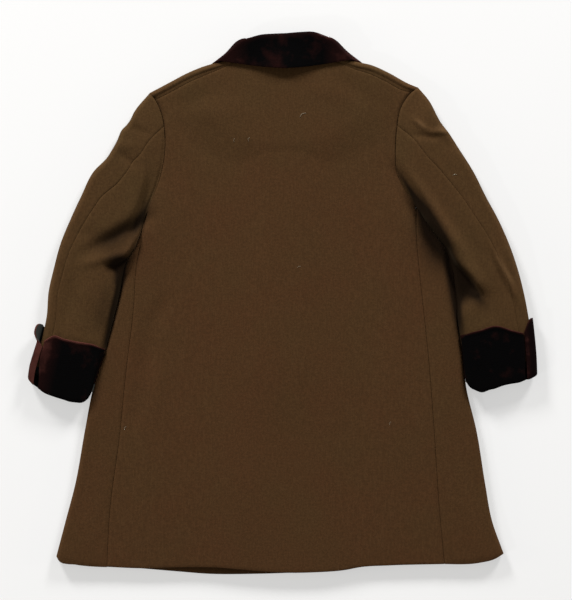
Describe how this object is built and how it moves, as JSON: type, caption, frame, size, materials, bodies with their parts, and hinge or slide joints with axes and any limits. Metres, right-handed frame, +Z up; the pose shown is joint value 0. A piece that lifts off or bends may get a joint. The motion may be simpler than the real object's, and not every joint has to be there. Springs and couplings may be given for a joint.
{
  "type": "child's overcoat laid flat",
  "caption": "Child's brown wool overcoat with dark velvet collar and turned-back velvet cuffs, laid flat with its back up.",
  "frame": {"origin": "middle of the coat's outline in plan, on the surface that the coat lies on", "axes": "+X to the right as seen from above, +Y from the hem to the collar, +Z up, out of the coat's back"},
  "size_m": [0.5596, 0.5956, 0.0156],
  "materials": {
    "back": "napped wool",
    "front_left": "napped wool",
    "front_right": "napped wool",
    "top_sleeve_left": "napped wool",
    "top_sleeve_right": "napped wool",
    "under_sleeve_left": "napped wool",
    "under_sleeve_right": "napped wool",
    "cuff_left": "velvet",
    "cuff_right": "velvet",
    "collar": "velvet",
    "button_1": "satin",
    "button_2": "satin",
    "button_3": "satin",
    "button_4": "satin"
  },
  "bodies": {
    "root": {"back": "back", "front_left": "front_left", "front_right": "front_right", "top_sleeve_left": "top_sleeve_left", "top_sleeve_right": "top_sleeve_right", "under_sleeve_left": "under_sleeve_left", "under_sleeve_right": "under_sleeve_right", "cuff_left": "cuff_left", "cuff_right": "cuff_right", "collar": "collar", "button_1": "button_1", "button_2": "button_2", "button_3": "button_3", "button_4": "button_4"}
  },
  "joints": []
}
